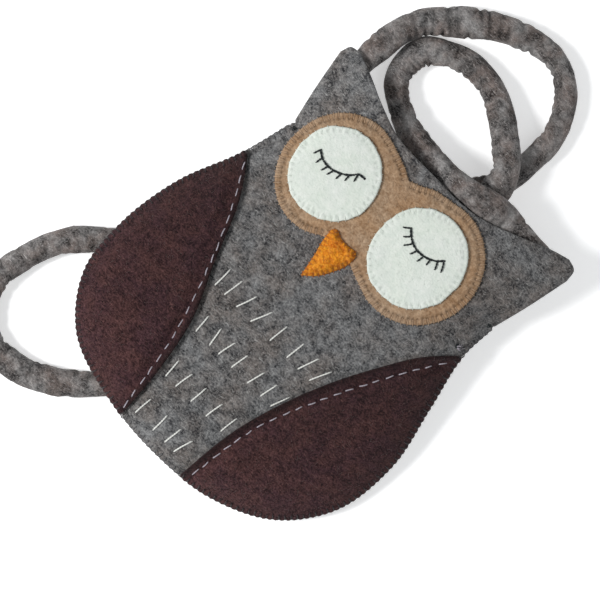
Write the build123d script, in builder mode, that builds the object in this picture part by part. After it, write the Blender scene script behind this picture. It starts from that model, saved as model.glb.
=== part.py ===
from build123d import *
import math
import os

# A child's flat owl shoulder bag in wool felt, lying on its back with its long rolled felt strap
# partly gathered under it. Millimetres, +Z up, +Y towards the owl's ears, +X the owl's left side.
# The origin is at the bottom centre of the bag's own box, without the strap. Left and right in
# the pieces' names are as seen from the front, so a right piece has the greater X.

# ---------------------------------------------------------------- driving dimensions
felt = 3.0                    # thickness of the body felt
trim_felt = 2.0               # thickness of the wings, mask and eyes
pouch_depth = 8.0             # free depth between back and front
rim = 3.0                     # width of the sewn edge that closes the sides
neck_y = 67.0                 # the side seam ends here, and the front folds open along this line
fold_gap = 2.0                # gap between lower front and flap at the fold
flap_gap = 0.3                # the mask stays this far above the flap
thread = 0.8                  # thickness of every sewing thread
edge_inset = 0.3              # an edge stitch starts this far inside the edge
beak_height = 5.0

strap_diameter = 12.0
strap_end_thickness = 6.0     # where the strap is flattened and sewn in
strap_end_width = 15.0

# The bag is draped over the strap like a shallow arch. Its ridge runs above the two hidden
# strap lengths, from the top edge down to the lower left, and sinks slowly on the way.
ridge_top = (33.5, 121.0)
ridge_height = 19.2
ridge_heading = math.radians(243.0)
ridge_fall = math.radians(1.0)
arch_radius = 589.0

# heights of the felt layers above the arch
back_top = felt
front_low = back_top + pouch_depth
front_top = front_low + felt
trim_top = front_top + trim_felt
eye_top = trim_top + trim_felt
cut_height = 80.0             # taller than anything in the bag
cut_length = 330.0            # longer than the ridge

along = Vector(math.cos(ridge_heading), math.sin(ridge_heading), 0)
across = Vector(-math.sin(ridge_heading), math.cos(ridge_heading), 0)
arch_plane = Plane(
    origin=(ridge_top[0], ridge_top[1], ridge_height),
    x_dir=across,
    z_dir=along * math.cos(ridge_fall) - Vector(0, 0, math.sin(ridge_fall)),
)


def arch_height(x, y):
    """Height of the arch's surface, which carries the bag's back, above the floor."""
    offset = Vector(x - ridge_top[0], y - ridge_top[1], 0)
    sagitta = arch_radius - math.sqrt(arch_radius**2 - offset.dot(across) ** 2)
    return ridge_height - math.tan(ridge_fall) * offset.dot(along) - sagitta


def arch_layer(low, high):
    """The curved slab between two heights above the arch."""
    with BuildPart() as slab:
        with BuildSketch(arch_plane):
            with Locations((0, -arch_radius)):
                Circle(arch_radius + high)
                Circle(arch_radius + low, mode=Mode.SUBTRACT)
        extrude(amount=cut_length, both=True)
    return slab.part


def save(piece, label):
    piece.part.label = label
    export_step(piece.part, f"parts/{label}.step")


os.makedirs("parts", exist_ok=True)

# ---------------------------------------------------------------- outlines
neck_right = (87.5, neck_y)
neck_left = (-75.6, neck_y)
ear_right_low = (96.8, 113.0)
ear_right_tip = (89.5, 122.1)
ear_left_tip = (-77.0, 120.9)
ear_left_low = (-84.6, 113.5)

with BuildSketch() as body_outline:
    with BuildLine():
        sides = Spline(
            neck_right,
            (86.6, 42.0),
            (94.5, 8.0),
            (103.3, -31.0),
            (98.5, -72.0),
            (78.5, -100.0),
            (43.5, -117.5),
            (3.0, -122.1),
            (-37.0, -120.0),
            (-79.0, -103.3),
            (-99.5, -76.0),
            (-103.5, -45.0),
            (-98.0, -4.0),
            (-84.0, 33.0),
            neck_left,
        )
        Spline(neck_left, (-79.3, 88.0), ear_left_low)
        ThreePointArc(ear_left_low, (-82.5, 119.4), ear_left_tip)
        Spline(
            ear_left_tip,
            (-64.5, 117.0),
            (-46.5, 109.3),
            (-28.5, 103.0),
            (3.5, 101.7),
            (33.5, 102.9),
            (63.5, 112.9),
            (79.0, 119.6),
            ear_right_tip,
        )
        ThreePointArc(ear_right_tip, (95.4, 120.0), ear_right_low)
        Spline(ear_right_low, (91.3, 88.0), neck_right)
    make_face()

# The pouch keeps a rim's width inside the sides and runs out through the open mouth.
rim_steps = 28
inner_side = []
for i in range(rim_steps + 1):
    heading = sides % (i / rim_steps)
    inner_side.append(sides @ (i / rim_steps) + Vector(heading.Y, -heading.X, 0) * rim)

with BuildSketch() as pouch_outline:
    with BuildLine():
        pouch_side = Spline(*inner_side)
        Polyline(pouch_side @ 1, (-70.0, neck_y + 20), (80.0, neck_y + 20), pouch_side @ 0)
    make_face()

with BuildSketch() as lower_front_outline:
    add(body_outline.sketch)
    with Locations((0, neck_y - fold_gap / 2)):
        Rectangle(300, 300, align=(Align.CENTER, Align.MAX), mode=Mode.INTERSECT)

with BuildSketch() as flap_outline:
    add(body_outline.sketch)
    with Locations((0, neck_y + fold_gap / 2)):
        Rectangle(300, 300, align=(Align.CENTER, Align.MIN), mode=Mode.INTERSECT)

with BuildSketch() as wing_left_outline:
    with BuildLine():
        Spline(
            (-92.0, 47.0),
            (-80.5, 37.0),
            (-67.0, 20.0),
            (-48.5, -20.0),
            (-33.5, -54.0),
            (-27.5, -84.0),
            (-23.3, -130.0),
        )
        Polyline((-23.3, -130.0), (-130.0, -130.0), (-130.0, 47.0), (-92.0, 47.0))
    make_face()
    add(body_outline.sketch, mode=Mode.INTERSECT)

with BuildSketch() as wing_right_outline:
    with BuildLine():
        Spline(
            (96.0, 46.0),
            (85.5, 37.5),
            (73.5, 25.0),
            (58.5, 1.0),
            (39.5, -39.0),
            (27.5, -79.0),
            (22.7, -130.0),
        )
        Polyline((22.7, -130.0), (130.0, -130.0), (130.0, 46.0), (96.0, 46.0))
    make_face()
    add(body_outline.sketch, mode=Mode.INTERSECT)

with BuildSketch() as eye_mask_outline:
    with Locations((-37.0, 62.4)):
        Ellipse(33.0, 36.7)
    with Locations((30.5, 61.9)):
        Ellipse(36.0, 37.4)
    with BuildLine():
        ThreePointArc((-20.0, 94.5), (-4.5, 89.9), (12.0, 94.0))
        Line((12.0, 94.0), (4.0, 28.4))
        ThreePointArc((4.0, 28.4), (-6.5, 38.0), (-17.0, 32.0))
        Line((-17.0, 32.0), (-20.0, 94.5))
    make_face()

with BuildSketch() as eye_left_outline:
    with Locations((-37.5, 62.0)):
        Ellipse(26.2, 27.2)

with BuildSketch() as eye_right_outline:
    with Locations((29.2, 61.6)):
        Ellipse(27.5, 29.3)

beak_tip = (-10.5, 7.9)
with BuildSketch() as beak_outline:
    with BuildLine():
        ThreePointArc((-16.5, 39.2), (-6.5, 39.6), (3.5, 38.7))
        Spline((3.5, 38.7), (1.0, 24.0), (-4.5, 13.0), beak_tip)
        Spline(beak_tip, (-14.6, 22.0), (-16.5, 39.2))
    make_face()

# ---------------------------------------------------------------- felt body
with BuildPart() as back_panel:
    with BuildSketch():
        add(body_outline.sketch)
    extrude(amount=cut_height)
    add(arch_layer(0, back_top), mode=Mode.INTERSECT)

with BuildPart() as sewn_rim:
    with BuildSketch():
        add(lower_front_outline.sketch)
        add(pouch_outline.sketch, mode=Mode.SUBTRACT)
    extrude(amount=cut_height)
    add(arch_layer(back_top, front_low), mode=Mode.INTERSECT)

# The lower front is a shallow tray: its rim is the sewn edge, from neck to neck.
with BuildPart() as front_panel:
    with BuildSketch():
        add(lower_front_outline.sketch)
    extrude(amount=cut_height)
    add(arch_layer(front_low, front_top), mode=Mode.INTERSECT)
    add(sewn_rim.part)

with BuildPart() as face_flap:
    with BuildSketch():
        add(flap_outline.sketch)
    extrude(amount=cut_height)
    add(arch_layer(front_low, front_top - flap_gap), mode=Mode.INTERSECT)

trim_layer = arch_layer(front_top, trim_top)
with BuildPart() as wing_left:
    with BuildSketch():
        add(wing_left_outline.sketch)
    extrude(amount=cut_height)
    add(trim_layer, mode=Mode.INTERSECT)

with BuildPart() as wing_right:
    with BuildSketch():
        add(wing_right_outline.sketch)
    extrude(amount=cut_height)
    add(trim_layer, mode=Mode.INTERSECT)

with BuildPart() as eye_mask:
    with BuildSketch():
        add(eye_mask_outline.sketch)
    extrude(amount=cut_height)
    add(trim_layer, mode=Mode.INTERSECT)

eye_layer = arch_layer(trim_top, eye_top)
with BuildPart() as eye_left:
    with BuildSketch():
        add(eye_left_outline.sketch)
    extrude(amount=cut_height)
    add(eye_layer, mode=Mode.INTERSECT)

with BuildPart() as eye_right:
    with BuildSketch():
        add(eye_right_outline.sketch)
    extrude(amount=cut_height)
    add(eye_layer, mode=Mode.INTERSECT)

with BuildPart() as beak:
    with BuildSketch():
        add(beak_outline.sketch)
    extrude(amount=cut_height)
    add(arch_layer(front_top, front_top + beak_height), mode=Mode.INTERSECT)
    add(eye_mask.part, mode=Mode.SUBTRACT)


# ---------------------------------------------------------------- sewing threads
def edge_stitches(face, pitch, length, wanted=lambda point: True):
    """Places of short stitches square to a piece's edge, just inside it."""
    edge = face.outer_wire()
    count = round(edge.length / pitch)
    places = []
    for i in range(count):
        point = edge @ (i / count)
        heading = edge % (i / count)
        inward = Vector(-heading.Y, heading.X, 0)
        if not face.is_inside(point + inward):
            inward = -inward
        if wanted(point):
            turn = math.degrees(math.atan2(inward.Y, inward.X))
            places.append((point + inward * (length / 2 + edge_inset), turn, length))
    return places


def row_stitches(curve, pitch, length):
    """Places of running stitches that follow a curve."""
    count = int(curve.length / pitch)
    places = []
    for i in range(count):
        share = (i + 0.5) / count
        heading = curve % share
        places.append((curve @ share, math.degrees(math.atan2(heading.Y, heading.X)), length))
    return places


def straight_stitch(start, end):
    """Place of one stitch between two points."""
    run = Vector(*end) - Vector(*start)
    middle = (Vector(*start) + Vector(*end)) / 2
    return (middle, math.degrees(math.atan2(run.Y, run.X)), run.length)


def sew(places, low):
    """Threads lying on the layer whose top is low above the arch, as separate solids."""
    with BuildSketch() as marks:
        for middle, turn, length in places:
            with Locations(Location((middle.X, middle.Y, 0), (0, 0, turn))):
                SlotOverall(length, thread)
    with BuildPart() as threads:
        extrude(marks.sketch, amount=cut_height)
        add(arch_layer(low, low + thread), mode=Mode.INTERSECT)
    return threads


def on_wing(point):
    return point.Y < 36 and (point.X < -24.2 or point.X > 23.4)


def on_sewn_body_edge(point):
    beside_face = 41 < point.Y < neck_y - 6
    between_wings = point.Y < 0 and -22.4 < point.X < 21.8
    return beside_face or between_wings


def clear_of_beak(point):
    return point.Y > 41 or point.X < -18.5 or point.X > 5.5


seam_pitch = 3.6
body_face = body_outline.sketch.face()
edge_stitching_wings = sew(edge_stitches(body_face, seam_pitch, 4.2, on_wing), trim_top)
edge_stitching_body = sew(edge_stitches(body_face, seam_pitch, 4.2, on_sewn_body_edge), front_top)

mask_face = eye_mask_outline.sketch.face()
eye_mask_stitching = sew(edge_stitches(mask_face, 3.2, 2.8, clear_of_beak), trim_top)
eye_stitching_left = sew(edge_stitches(eye_left_outline.sketch.face(), 3.2, 1.8), eye_top)
eye_stitching_right = sew(edge_stitches(eye_right_outline.sketch.face(), 3.2, 1.8), eye_top)
beak_places = edge_stitches(beak_outline.sketch.face(), 3.0, 1.8)
beak_stitching = sew(beak_places, front_top + beak_height)

running_pitch = 7.6
running_length = 5.0
with BuildLine() as wing_left_row:
    Spline((-79.5, 32.0), (-66.5, 10.0), (-48.5, -31.0), (-36.5, -69.0), (-28.0, -117.0))

with BuildLine() as wing_right_row:
    Spline((83.0, 33.0), (70.5, 12.5), (48.5, -31.0), (33.5, -68.0), (25.8, -117.0))

wing_left_places = row_stitches(wing_left_row.wire(), running_pitch, running_length)
wing_right_places = row_stitches(wing_right_row.wire(), running_pitch, running_length)
wing_stitching_left = sew(wing_left_places, trim_top)
wing_stitching_right = sew(wing_right_places, trim_top)

# Belly feathers: rows of single stitches, each given by the X of its lower and upper end.
belly_rows = [
    (-30.5, -17.5, [(-41, -41), (-33.5, -31.5), (-24, -19.5), (-12.5, -7), (3, 4.5),
                    (16.5, 18), (25.5, 30), (34.5, 40.5)]),
    (-56.5, -44.5, [(-30, -31), (-19, -21), (-12, -9.5), (-1.5, 0.5), (11, 14),
                    (21.5, 24), (29.5, 34)]),
    (-86.5, -74.0, [(-24, -25), (-16, -14), (-4, -3), (8, 10), (20, 21.5)]),
    (-113.5, -101.0, [(-21.5, -20.5), (-7.5, -7.5), (2, 3.5), (9.5, 13)]),
]
belly_places = [
    straight_stitch((lower_x, low_y), (upper_x, high_y))
    for low_y, high_y, ends in belly_rows
    for lower_x, upper_x in ends
]
belly_stitches = sew(belly_places, front_top)

lash_width = 1.3


def lashes(lid, tips):
    """A closed eyelid line with a lash from each given place on it to its tip."""
    with BuildSketch() as strokes:
        with BuildLine() as line:
            Spline(*lid)
        trace(line.line, line_width=lash_width)
        for share, tip in tips:
            root = line.line @ share
            middle, turn, length = straight_stitch((root.X, root.Y), tip)
            with Locations(Location((middle.X, middle.Y, 0), (0, 0, turn))):
                SlotOverall(length + lash_width, lash_width * 0.8)
    with BuildPart() as threads:
        extrude(strokes.sketch, amount=cut_height)
        add(arch_layer(eye_top, eye_top + thread), mode=Mode.INTERSECT)
    return threads


eyelashes_left = lashes(
    [(-53.5, 66.0), (-49.0, 63.0), (-44.0, 62.0), (-36.0, 64.0), (-28.0, 69.0), (-23.5, 71.5)],
    [(0.02, (-54.5, 61.5)), (0.16, (-49.8, 58.7)), (0.32, (-44.8, 57.7)), (0.44, (-40.8, 58.3)),
     (0.58, (-35.5, 60.2)), (0.72, (-31.2, 63.0)), (0.86, (-27.2, 66.2))],
)
eyelashes_right = lashes(
    [(13.5, 71.0), (18.0, 67.0), (23.5, 64.5), (31.0, 64.8), (37.5, 68.0), (40.5, 71.5)],
    [(0.02, (10.3, 67.8)), (0.17, (14.2, 64.2)), (0.3, (17.8, 61.0)), (0.44, (23.8, 60.0)),
     (0.6, (29.5, 59.8)), (0.73, (34.5, 62.2)), (0.86, (40.0, 63.5)), (0.98, (43.5, 64.8))],
)

knot_radius = 1.5
knot_gap = 0.1                # a knot stands this far clear of the sloping felt
knot_places = [
    (neck_left[0] + 3.0, neck_y - 3.0),
    (neck_right[0] - 3.0, neck_y - 3.0),
    (80.0, 43.0),
]
with BuildPart() as seam_knots:
    for x, y in knot_places:
        with Locations((x, y, arch_height(x, y) + front_top + knot_radius + knot_gap)):
            Sphere(knot_radius)

# ---------------------------------------------------------------- shoulder strap
# The strap leaves the mouth at the owl's right ear, makes the outer loop, dives under the bag
# and out at the right wing, turns back under the bag, humps over itself, makes the inner loop
# and runs along the bag's top edge into the mouth at the other ear.
end_center = back_top + strap_end_thickness / 2
strap_floor = strap_diameter / 2
left_start = (-72.0, 121.4)
right_start = (53.5, 115.2)
left_z = arch_height(*left_start) + end_center
right_z = arch_height(*right_start) + end_center

strap_route = [
    (left_start[0], left_start[1], left_z),
    (-72.0, 131.5, left_z),
    (-71.5, 146.0, 13.2),
    (-67.5, 160.0, 9.2),
    (-57.0, 172.5, 6.7),
    (-40.0, 185.5, strap_floor),
    (-20.0, 196.0, strap_floor),
    (1.0, 200.5, strap_floor),
    (18.5, 194.0, strap_floor),
    (30.0, 180.5, strap_floor),
    (36.0, 163.0, strap_floor),
    (36.5, 146.0, strap_floor),
    (34.5, 131.0, strap_floor),
    (28.5, 116.5, strap_floor),
    (15.5, 103.5, strap_floor),
    (-1.0, 82.0, strap_floor),
    (-23.0, 52.0, strap_floor),
    (-49.0, 11.0, strap_floor),
    (-79.0, -31.0, strap_floor),
    (-101.0, -56.0, strap_floor),
    (-117.0, -69.0, strap_floor),
    (-127.5, -86.0, strap_floor),
    (-132.0, -105.0, strap_floor),
    (-130.5, -124.0, strap_floor),
    (-121.0, -139.5, strap_floor),
    (-105.0, -147.0, strap_floor),
    (-86.0, -145.0, strap_floor),
    (-68.0, -138.0, strap_floor),
    (-52.0, -125.0, strap_floor),
    (-37.0, -104.0, strap_floor),
    (-18.0, -72.0, strap_floor),
    (0.0, -34.0, strap_floor),
    (12.0, 6.0, strap_floor),
    (22.0, 42.0, strap_floor),
    (28.5, 68.0, strap_floor),
    (31.0, 84.0, 6.2),
    (32.6, 96.0, 8.2),
    (33.4, 108.0, 13.8),
    (33.0, 120.0, 18.3),
    (29.5, 134.0, 18.3),
    (19.0, 144.0, 15.5),
    (5.0, 154.5, 11.0),
    (-10.0, 162.0, 7.6),
    (-26.0, 163.5, strap_floor),
    (-41.0, 160.0, strap_floor),
    (-51.0, 150.0, strap_floor),
    (-55.5, 137.0, strap_floor),
    (-53.5, 124.5, 6.2),
    (-43.5, 115.0, 7.6),
    (-29.0, 109.6, 10.6),
    (-14.0, 108.3, 14.6),
    (0.0, 108.4, 19.4),
    (12.5, 108.8, 24.4),
    (25.0, 109.6, 27.9),
    (37.0, 111.6, 28.1),
    (45.5, 114.2, 26.8),
    (right_start[0], right_start[1], right_z),
]


def corner_radii(points):
    """The largest even arc at each corner: 0.45 of the shorter run over tan(half the turn)."""
    radii = []
    for before, here, after in zip(points, points[1:], points[2:]):
        run_in = Vector(*here) - Vector(*before)
        run_out = Vector(*after) - Vector(*here)
        half_turn = math.radians(run_in.get_angle(run_out) / 2)
        radii.append(0.45 * min(run_in.length, run_out.length) / math.tan(half_turn))
    return radii


radii = corner_radii(strap_route)
print("strap radii:", [round(r) for r in radii])

with BuildPart() as strap:
    with BuildLine() as route:
        FilletPolyline(*strap_route, radius=radii)
    with BuildSketch(Plane(origin=route.wire() @ 0, z_dir=route.wire() % 0)):
        Circle(strap_diameter / 2)
    sweep(path=route.wire())

strap_length = route.wire().length
print("strap length:", round(strap_length, 1))
tube_volume = math.pi * (strap_diameter / 2) ** 2 * strap_length
print("tube volume over section times length:", round(strap.part.volume / tube_volume, 5))

left_end_length = 32.0
right_end_length = 33.0
right_end_turn = -9.0
left_end_place = Location((left_start[0], left_start[1], 0), (0, 0, -90))
right_end_place = Location((right_start[0] - 0.6, right_start[1], 0), (0, 0, right_end_turn))
end_layer = arch_layer(back_top, back_top + strap_end_thickness)


def flat_end(place, length):
    """A strap end flattened on the back panel's inner side, with a rounded tip."""
    with BuildSketch() as shape:
        with Locations(place):
            Rectangle(length, strap_end_width, align=(Align.MIN, Align.CENTER))
        fillet(shape.vertices().sort_by_distance(place.position)[2:], radius=4.0)
    with BuildPart() as end:
        extrude(shape.sketch, amount=cut_height)
        add(end_layer, mode=Mode.INTERSECT)
    return end


strap_end_left = flat_end(left_end_place, left_end_length)
strap_end_right = flat_end(right_end_place, right_end_length)


def cross_stitch(place, distance):
    """Two crossed rows of stitches that hold a strap end to the back panel."""
    middle = place * Location((distance, 0, 0))
    places = []
    for side in (-1, 1):
        arm = middle * Location((0, 0, 0), (0, 0, side * 45))
        for step in (-4.2, 0, 4.2):
            spot = (arm * Location((step, 0, 0))).position
            if step == 0 and side == 1:
                continue
            places.append((spot, arm.orientation.Z, 3.0))
    return places


end_top = back_top + strap_end_thickness
strap_stitching_left = sew(cross_stitch(left_end_place, left_end_length - 10.0), end_top)
strap_stitching_right = sew(cross_stitch(right_end_place, right_end_length - 10.0), end_top)

# ---------------------------------------------------------------- files
pieces = {
    "back_panel": back_panel,
    "front_panel": front_panel,
    "face_flap": face_flap,
    "wing_left": wing_left,
    "wing_right": wing_right,
    "wing_stitching_left": wing_stitching_left,
    "wing_stitching_right": wing_stitching_right,
    "eye_mask": eye_mask,
    "eye_mask_stitching": eye_mask_stitching,
    "eye_left": eye_left,
    "eye_right": eye_right,
    "eye_stitching_left": eye_stitching_left,
    "eye_stitching_right": eye_stitching_right,
    "eyelashes_left": eyelashes_left,
    "eyelashes_right": eyelashes_right,
    "beak": beak,
    "beak_stitching": beak_stitching,
    "belly_stitches": belly_stitches,
    "edge_stitching_body": edge_stitching_body,
    "edge_stitching_wings": edge_stitching_wings,
    "seam_knots": seam_knots,
    "strap": strap,
    "strap_end_left": strap_end_left,
    "strap_end_right": strap_end_right,
    "strap_stitching_left": strap_stitching_left,
    "strap_stitching_right": strap_stitching_right,
}
for label, piece in pieces.items():
    save(piece, label)
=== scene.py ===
"""A child's owl shoulder bag of wool felt, lying on its back on a pale floor with its long strap.

Lengths are in millimetres in the script and become metres when a mesh is made. +Z is up, +Y runs
towards the owl's ears, and left and right are as seen from the front.
"""
import math
import random

import bpy
import numpy as np
from mathutils import Matrix, geometry, noise


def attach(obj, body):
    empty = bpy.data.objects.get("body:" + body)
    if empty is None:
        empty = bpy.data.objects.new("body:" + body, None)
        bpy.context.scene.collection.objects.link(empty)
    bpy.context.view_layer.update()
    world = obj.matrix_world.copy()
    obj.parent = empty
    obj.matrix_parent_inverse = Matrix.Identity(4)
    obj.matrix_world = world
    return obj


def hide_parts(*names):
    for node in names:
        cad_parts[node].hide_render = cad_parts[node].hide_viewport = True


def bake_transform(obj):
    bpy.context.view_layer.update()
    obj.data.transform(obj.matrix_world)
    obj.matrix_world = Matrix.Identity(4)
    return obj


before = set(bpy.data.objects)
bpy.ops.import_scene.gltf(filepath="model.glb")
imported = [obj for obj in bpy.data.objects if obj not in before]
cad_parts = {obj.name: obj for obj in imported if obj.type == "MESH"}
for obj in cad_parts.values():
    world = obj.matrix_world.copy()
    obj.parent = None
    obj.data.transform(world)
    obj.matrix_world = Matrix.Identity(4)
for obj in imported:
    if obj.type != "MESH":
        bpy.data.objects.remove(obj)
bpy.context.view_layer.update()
random.seed(11)
MM = 0.001

# === lines and fields


def unit(v):
    """Vectors scaled to a length of 1."""
    return v / np.linalg.norm(v, axis=-1, keepdims=True)


def reached_along(line):
    """How far along a line each of its points is."""
    return np.concatenate([[0], np.cumsum(np.linalg.norm(np.diff(line, axis=0), axis=1))])


def point_at(place, reached, line):
    """The line's point that far along it, or its points for several places."""
    return np.array([np.interp(place, reached, column) for column in line.T]).T


def resample(points, step):
    """Points at about that even spacing along a line, its two ends included."""
    points = np.asarray(points, float)
    reached = reached_along(points)
    places = np.linspace(0, reached[-1], max(2, round(reached[-1] / step) + 1))
    return point_at(places, reached, points)


def smooth_curve(points, step=1.0, closed=False):
    """Even points on a smooth curve through the given ones."""
    p = np.asarray(points, float)
    if closed:
        p = np.vstack([p[-1], p, p[0], p[1]])
    span = np.linalg.norm(np.diff(p, axis=0), axis=1)
    slope = np.diff(p, axis=0) / span[:, None]
    before, after = span[:-1, None], span[1:, None]
    inner = (slope[:-1] * after + slope[1:] * before) / (before + after)
    tangent = np.vstack([slope[0], inner, slope[-1]])
    first, last = (1, len(p) - 2) if closed else (0, len(p) - 1)
    line = []
    for i in range(first, last):
        t = np.linspace(0, 1, max(4, int(span[i] / step * 3)), endpoint=False)[:, None]
        line.append(
            (2 * t**3 - 3 * t**2 + 1) * p[i]
            + (t**3 - 2 * t**2 + t) * span[i] * tangent[i]
            + (3 * t**2 - 2 * t**3) * p[i + 1]
            + (t**3 - t**2) * span[i] * tangent[i + 1]
        )
    line.append(p[last][None])
    return resample(np.vstack(line), step)


def nearest(p, line):
    """How far each point is from a line, and how far along the line its nearest place is."""
    start, run = line[:-1], np.diff(line, axis=0)
    squared = np.maximum((run**2).sum(1), 1e-12)
    reached = np.concatenate([[0], np.cumsum(np.sqrt(squared))[:-1]])
    far, place = np.empty(len(p)), np.empty(len(p))
    for low in range(0, len(p), 800):
        offset = p[low : low + 800, None, :] - start[None]
        share = np.clip((offset * run).sum(2) / squared, 0, 1)
        gap = ((offset - share[..., None] * run) ** 2).sum(2)
        best = gap.argmin(1)
        row = np.arange(len(best))
        far[low : low + 800] = np.sqrt(gap[row, best])
        place[low : low + 800] = reached[best] + share[row, best] * np.sqrt(squared[best])
    return far, place


def looped(outline):
    """A closed outline with its first point repeated at its end."""
    return np.vstack([outline, outline[:1]])


def depth_in(p, outline):
    """How far each point is inside a closed outline, and below 0 outside it."""
    loop = looped(outline)
    x, y = loop[:, 0], loop[:, 1]
    inside = np.zeros(len(p), bool)
    for x0, y0, x1, y1 in zip(x[:-1], y[:-1], x[1:], y[1:]):
        if y0 != y1:
            crossed = (y0 > p[:, 1]) != (y1 > p[:, 1])
            inside ^= crossed & (p[:, 0] < x0 + (p[:, 1] - y0) * (x1 - x0) / (y1 - y0))
    return np.where(inside, 1, -1) * nearest(p, loop)[0]


def ripple(p, size, seed=0.0):
    """Smooth noise between about -1 and 1, with lumps of that size."""
    return np.array([noise.noise((x / size, y / size, seed)) for x, y in p])


def ease(t):
    """A smooth step from 0 to 1."""
    t = np.clip(t, 0, 1)
    return t * t * (3 - 2 * t)


def hump(x, width):
    """1 at 0, falling away smoothly over about that width."""
    return np.exp(-((x / width) ** 2))


def dimples(p, holes, radius):
    """1 at each hole and 0 away from it."""
    gap = ((p[:, None, :] - np.asarray(holes)[None]) ** 2).sum(2)
    return np.exp(-gap.min(1) / radius**2)


def grooves(p, stitches, radius):
    """1 along each stitch and 0 away from it."""
    ends = np.array(stitches)
    start, run = ends[:, 0], ends[:, 1] - ends[:, 0]
    offset = p[:, None, :] - start[None]
    share = np.clip((offset * run).sum(2) / (run**2).sum(1), 0, 1)
    gap = ((offset - share[..., None] * run) ** 2).sum(2)
    return np.exp(-gap.min(1) / radius**2)


def inward(line, closed=True):
    """Unit vectors square to an outline that runs anticlockwise, pointing into it."""
    if closed:
        heading = np.roll(line, -1, axis=0) - np.roll(line, 1, axis=0)
    else:
        heading = np.gradient(line, axis=0)
    heading = unit(heading)
    return np.column_stack([-heading[:, 1], heading[:, 0]])


def area_of(outline):
    """Signed area of a closed outline, above 0 if it runs anticlockwise."""
    after = np.roll(outline, -1, axis=0)
    return (outline[:, 0] * after[:, 1] - after[:, 0] * outline[:, 1]).sum() / 2


# === the strap's route and the camera
# The strap leaves the mouth at the left ear, makes the outer loop, dives under the bag and out at
# the lower left, turns back under the bag, humps over itself, makes the inner loop and runs along
# the bag's top edge into the mouth at the right ear. Its first and last three points are inside.
STRAP_ROUTE = [
    (-72.0, 90.0, 16.8), (-72.0, 106.0, 16.4), (-72.5, 121.4, 15.9), (-72.0, 131.5, 15.4),
    (-70.2, 145.8, 13.2), (-66.1, 158.8, 9.2), (-54.9, 170.1, 6.7), (-39.3, 184.6, 6.0),
    (-19.8, 195.5, 6.0), (1.0, 200.5, 6.0), (18.4, 193.9, 6.0), (29.4, 180.0, 6.0),
    (35.5, 162.8, 6.0), (35.1, 146.0, 6.0), (33.7, 131.4, 6.0), (28.5, 116.5, 6.0),
    (15.5, 103.5, 6.0), (-1.0, 82.0, 6.0), (-23.0, 52.0, 6.0), (-49.0, 11.0, 6.0),
    (-79.0, -31.0, 6.0), (-101.0, -56.0, 6.0), (-117.3, -68.8, 6.0), (-126.8, -86.3, 6.0),
    (-132.0, -105.0, 6.0), (-131.2, -124.2, 6.0), (-121.3, -139.9, 6.0), (-105.0, -147.0, 6.0),
    (-86.0, -145.0, 6.0), (-69.1, -136.6, 6.0), (-53.1, -124.0, 6.0), (-37.0, -104.0, 6.0),
    (-18.0, -72.0, 6.0), (0.0, -34.0, 6.0), (12.0, 6.0, 6.0), (22.0, 42.0, 6.0),
    (28.5, 68.0, 6.0), (31.0, 84.0, 6.2), (32.6, 96.0, 8.2), (33.4, 108.0, 13.8),
    (33.0, 120.0, 18.3), (29.5, 134.0, 18.3), (18.6, 143.5, 15.5), (4.6, 153.9, 11.0),
    (-10.1, 161.6, 7.6), (-26.1, 163.2, 6.0), (-40.4, 158.3, 6.0), (-52.7, 150.4, 6.0),
    (-55.8, 138.0, 6.0), (-52.2, 125.8, 6.2), (-41.9, 116.8, 7.6), (-27.8, 111.0, 10.6),
    (-14.0, 107.9, 14.6), (0.0, 107.7, 19.4), (12.5, 107.5, 24.4), (25.0, 109.2, 27.9),
    (37.0, 111.6, 28.1), (45.5, 113.1, 26.8), (53.5, 112.4, 24.9), (69.0, 111.3, 23.6),
    (85.0, 110.2, 22.9),
]


def route_line(route):
    """Points in millimetres along the smooth NURBS curve that has the route as control points."""
    curve = bpy.data.curves.new("strap_route", "CURVE")
    curve.dimensions = "3D"
    spline = curve.splines.new("NURBS")
    spline.points.add(len(route) - 1)
    for point, (x, y, z) in zip(spline.points, route):
        point.co = (x * MM, y * MM, z * MM, 1.0)
    spline.order_u = 3
    spline.use_endpoint_u = True
    spline.resolution_u = 16
    guide = bpy.data.objects.new("strap_route", curve)
    bpy.context.scene.collection.objects.link(guide)
    mesh = bpy.data.meshes.new_from_object(guide)
    points = np.array([v.co for v in mesh.vertices]) / MM
    bpy.data.objects.remove(guide)
    bpy.data.curves.remove(curve)
    bpy.data.meshes.remove(mesh)
    return points


VIEW_WIDTH = 340.0      # the camera sees this width at the felt's height
VIEW_HEIGHT = 22.0
LENS = 160.0
SENSOR = 36.0
VIEW_CENTRE = (-1.2, -2.0)
VIEW_RIGHT = (0.703, 0.711)


def make_camera():
    """A long lens straight above the bag, turned so that the owl lies aslant."""
    right = unit(np.array(VIEW_RIGHT))
    data = bpy.data.cameras.new("camera")
    data.lens = LENS
    data.sensor_width = SENSOR
    camera = bpy.data.objects.new("camera", data)
    bpy.context.scene.collection.objects.link(camera)
    height = VIEW_HEIGHT + VIEW_WIDTH * LENS / SENSOR
    place = Matrix.Translation((VIEW_CENTRE[0] * MM, VIEW_CENTRE[1] * MM, height * MM))
    turn = Matrix(((right[0], -right[1], 0), (right[1], right[0], 0), (0, 0, 1))).to_4x4()
    camera.matrix_world = place @ turn
    bpy.context.scene.camera = camera


make_camera()

# === outlines
NECK_RIGHT = (87.5, 67.0)     # the side seams end at the two neck points
NECK_LEFT = (-75.6, 67.0)
EDGE_STEP = 0.6
SEAM_PITCH = 3.6              # of the blanket stitches round the side seams
EDGE_PULL = 0.9               # each of them draws the edge in this far

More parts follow.
